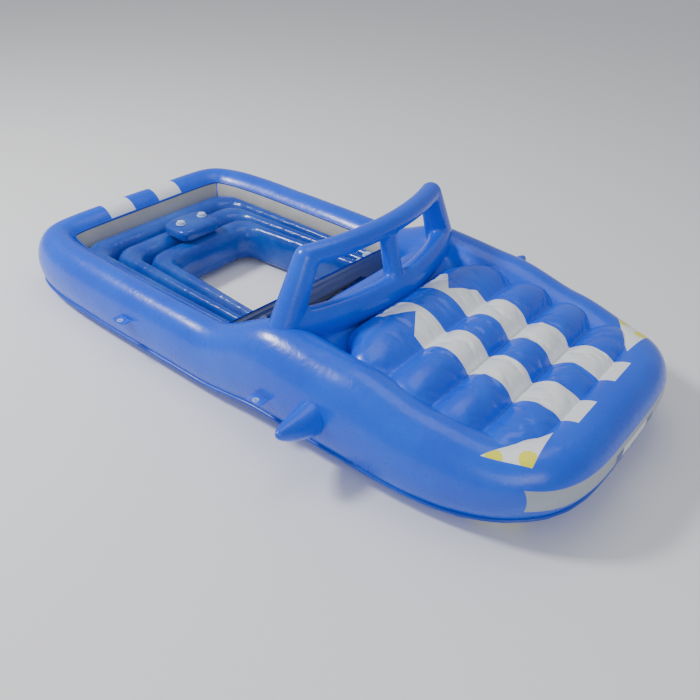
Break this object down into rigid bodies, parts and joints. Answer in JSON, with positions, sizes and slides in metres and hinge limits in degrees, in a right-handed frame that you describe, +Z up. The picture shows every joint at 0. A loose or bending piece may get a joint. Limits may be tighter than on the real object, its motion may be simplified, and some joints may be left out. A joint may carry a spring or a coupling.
{
  "type": "inflatable car-shaped towable tube",
  "caption": "Inflatable ride-on float shaped like an open car, with ribbed hood, windshield frame, fin mirrors, tubular U-shaped seat, open foot well and screw valves.",
  "frame": {"origin": "middle of the float's footprint, on the flat its tubes rest on", "axes": "-Y towards the nose, +X towards the float's left side, +Z up"},
  "size_m": [1.81, 2.93, 0.708],
  "materials": {
    "blue_pvc": "glossy blue PVC skin",
    "clear_blue_pvc": "translucent glossy blue PVC",
    "grey_pvc": "light grey PVC wall panel",
    "white_pvc": "white PVC panel",
    "yellow_ink": "yellow ink under gloss",
    "bumper_ink": "grey ink under gloss",
    "valve_vinyl": "clear moulded vinyl",
    "eyelet_plastic": "white moulded plastic"
  },
  "bodies": {
    "float": {"right_side_tube": "blue_pvc", "left_side_tube": "blue_pvc", "right_fender_tube": "blue_pvc", "left_fender_tube": "blue_pvc", "stern_tube": "blue_pvc", "nose_tube": "blue_pvc", "cowl_tube": "blue_pvc", "hood_pad": "blue_pvc", "windshield_frame": "blue_pvc", "cockpit_liner": "grey_pvc", "right_mirror": "blue_pvc", "left_mirror": "blue_pvc", "seat_outer_channel": "clear_blue_pvc", "seat_middle_channel": "clear_blue_pvc", "seat_inner_channel": "clear_blue_pvc", "console_pillow": "clear_blue_pvc", "valve_bases": "valve_vinyl", "tie_down_tabs": "blue_pvc", "tab_eyelets": "eyelet_plastic"},
    "right_outer_valve_collar": {"right_outer_valve_collar": "valve_vinyl"},
    "right_outer_valve_cap": {"right_outer_valve_cap": "valve_vinyl"},
    "right_inner_valve_collar": {"right_inner_valve_collar": "valve_vinyl"},
    "right_inner_valve_cap": {"right_inner_valve_cap": "valve_vinyl"},
    "right_console_valve_collar": {"right_console_valve_collar": "valve_vinyl"},
    "right_console_valve_cap": {"right_console_valve_cap": "valve_vinyl"},
    "left_outer_valve_collar": {"left_outer_valve_collar": "valve_vinyl"},
    "left_outer_valve_cap": {"left_outer_valve_cap": "valve_vinyl"},
    "left_inner_valve_collar": {"left_inner_valve_collar": "valve_vinyl"},
    "left_inner_valve_cap": {"left_inner_valve_cap": "valve_vinyl"},
    "left_console_valve_collar": {"left_console_valve_collar": "valve_vinyl"},
    "left_console_valve_cap": {"left_console_valve_cap": "valve_vinyl"}
  },
  "joints": [
    {"name": "right_outer_valve_collar_turn", "type": "hinge", "parent": "float", "child": "right_outer_valve_collar", "pos_m": [-0.43, 0.108, 0.2212], "axis": [0, 0, 1], "continuous": true},
    {"name": "right_outer_valve_cap_lift", "type": "hinge", "parent": "right_outer_valve_collar", "child": "right_outer_valve_cap", "pos_m": [-0.43, 0.1275, 0.2255], "axis": [-1, 0, 0], "range_deg": [0, 130]},
    {"name": "right_inner_valve_collar_turn", "type": "hinge", "parent": "float", "child": "right_inner_valve_collar", "pos_m": [-0.35, 0.09, 0.2212], "axis": [0, 0, 1], "continuous": true},
    {"name": "right_inner_valve_cap_lift", "type": "hinge", "parent": "right_inner_valve_collar", "child": "right_inner_valve_cap", "pos_m": [-0.35, 0.1095, 0.2255], "axis": [-1, 0, 0], "range_deg": [0, 130]},
    {"name": "right_console_valve_collar_turn", "type": "hinge", "parent": "float", "child": "right_console_valve_collar", "pos_m": [-0.07, 0.93, 0.2956], "axis": [0, 0, 1], "continuous": true},
    {"name": "right_console_valve_cap_lift", "type": "hinge", "parent": "right_console_valve_collar", "child": "right_console_valve_cap", "pos_m": [-0.07, 0.9495, 0.2999], "axis": [-1, 0, 0], "range_deg": [0, 130]},
    {"name": "left_outer_valve_collar_turn", "type": "hinge", "parent": "float", "child": "left_outer_valve_collar", "pos_m": [0.43, 0.108, 0.2212], "axis": [0, 0, 1], "continuous": true},
    {"name": "left_outer_valve_cap_lift", "type": "hinge", "parent": "left_outer_valve_collar", "child": "left_outer_valve_cap", "pos_m": [0.43, 0.1275, 0.2255], "axis": [-1, 0, 0], "range_deg": [0, 130]},
    {"name": "left_inner_valve_collar_turn", "type": "hinge", "parent": "float", "child": "left_inner_valve_collar", "pos_m": [0.35, 0.09, 0.2212], "axis": [0, 0, 1], "continuous": true},
    {"name": "left_inner_valve_cap_lift", "type": "hinge", "parent": "left_inner_valve_collar", "child": "left_inner_valve_cap", "pos_m": [0.35, 0.1095, 0.2255], "axis": [-1, 0, 0], "range_deg": [0, 130]},
    {"name": "left_console_valve_collar_turn", "type": "hinge", "parent": "float", "child": "left_console_valve_collar", "pos_m": [0.07, 0.93, 0.2956], "axis": [0, 0, 1], "continuous": true},
    {"name": "left_console_valve_cap_lift", "type": "hinge", "parent": "left_console_valve_collar", "child": "left_console_valve_cap", "pos_m": [0.07, 0.9495, 0.2999], "axis": [-1, 0, 0], "range_deg": [0, 130]}
  ]
}
